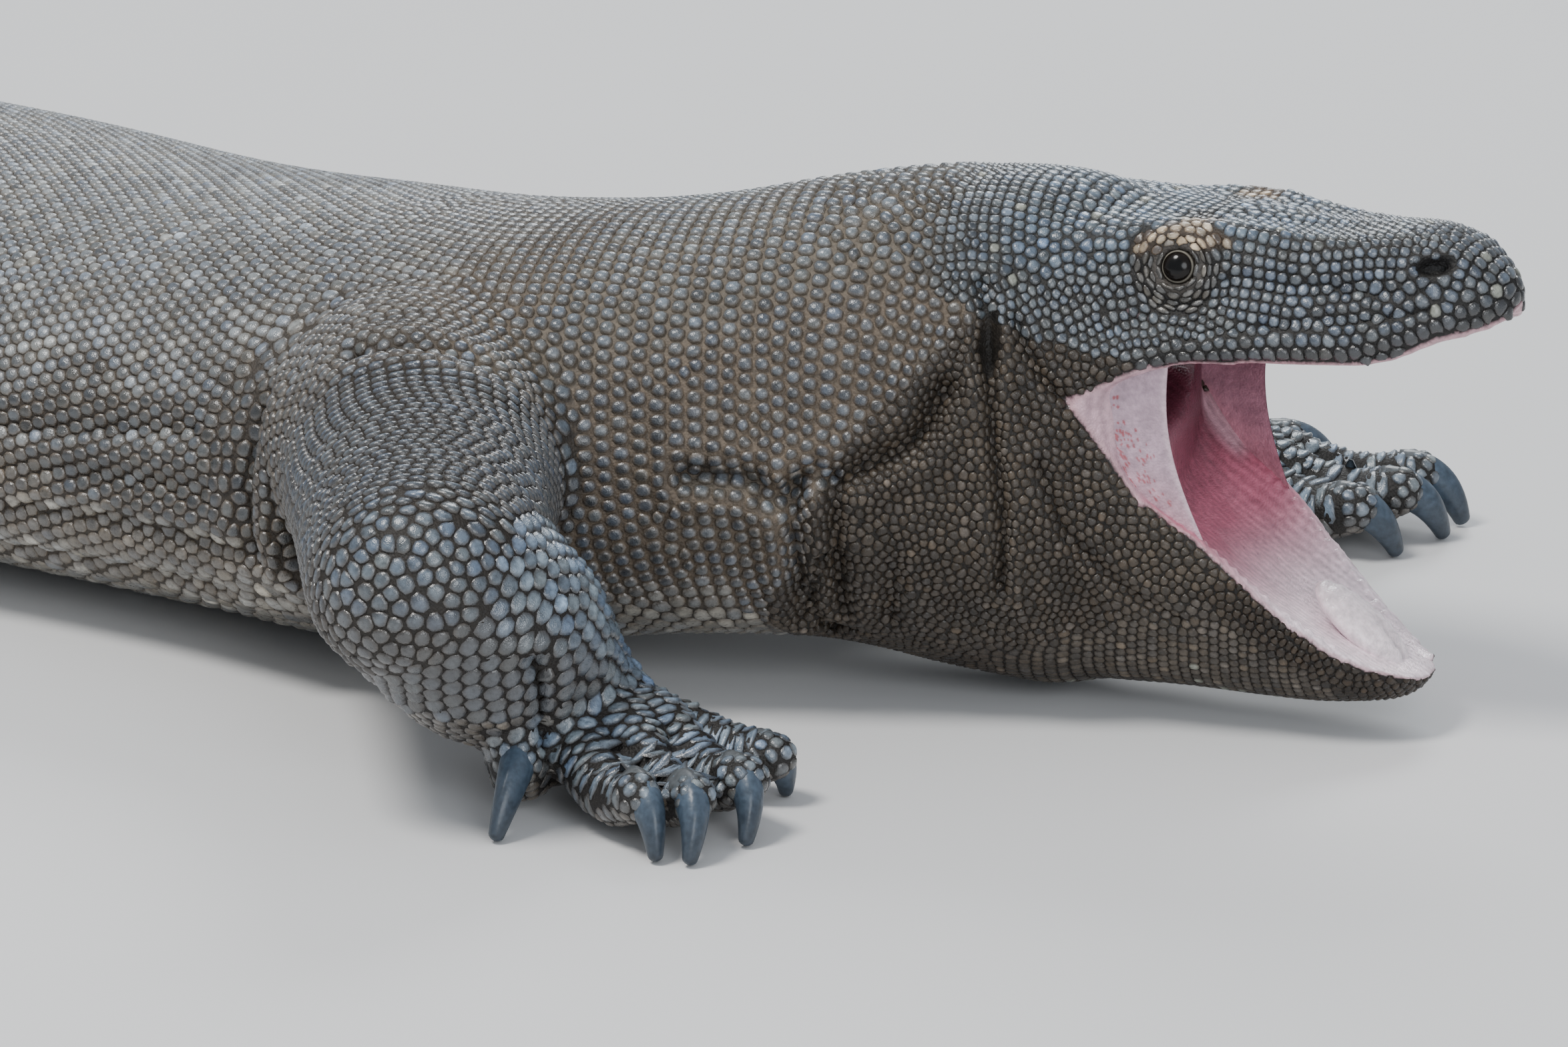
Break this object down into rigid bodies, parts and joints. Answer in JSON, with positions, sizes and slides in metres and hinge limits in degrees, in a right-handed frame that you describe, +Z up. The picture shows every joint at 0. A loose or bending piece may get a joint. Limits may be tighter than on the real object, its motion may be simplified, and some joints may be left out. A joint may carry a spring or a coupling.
{
  "type": "komodo dragon",
  "caption": "Komodo dragon lying on its belly, head raised and mouth gaping, right foreleg forward, long tail in a slow curve; a still life-size animal model.",
  "frame": {"origin": "middle of the footprint, on the ground the animal lies on", "axes": "+X towards the snout along the trunk, +Y to the animal's left, +Z up"},
  "size_m": [2.2824, 0.773, 0.2081],
  "materials": {
    "hide": "scaly, dusty grey, blue-grey plates with tan between them",
    "mouth": "moist pink skin",
    "tongue": "moist, pale",
    "eyes": "wet, dark brown",
    "claws": "satin horn, dark blue-grey"
  },
  "bodies": {
    "root": {"belly": "hide", "cheek_left": "mouth", "cheek_right": "mouth", "chest": "hide", "eye_left": "eyes", "eye_right": "eyes", "foot_left": "hide", "foot_left_claw_1": "claws", "foot_left_claw_2": "claws", "foot_left_claw_3": "claws", "foot_left_claw_4": "claws", "foot_left_claw_5": "claws", "foot_right": "hide", "foot_right_claw_1": "claws", "foot_right_claw_2": "claws", "foot_right_claw_3": "claws", "foot_right_claw_4": "claws", "foot_right_claw_5": "claws", "forearm_left": "hide", "forearm_right": "hide", "hand_left": "hide", "hand_left_claw_1": "claws", "hand_left_claw_2": "claws", "hand_left_claw_3": "claws", "hand_left_claw_4": "claws", "hand_left_claw_5": "claws", "hand_right": "hide", "hand_right_claw_1": "claws", "hand_right_claw_2": "claws", "hand_right_claw_3": "claws", "hand_right_claw_4": "claws", "hand_right_claw_5": "claws", "head": "hide", "lower_jaw": "hide", "neck": "hide", "pelvis": "hide", "shank_left": "hide", "shank_right": "hide", "tail_base": "hide", "tail_middle": "hide", "tail_rear": "hide", "tail_tip": "hide", "thigh_left": "hide", "thigh_right": "hide", "tongue": "tongue", "upper_arm_left": "hide", "upper_arm_right": "hide"}
  },
  "joints": []
}
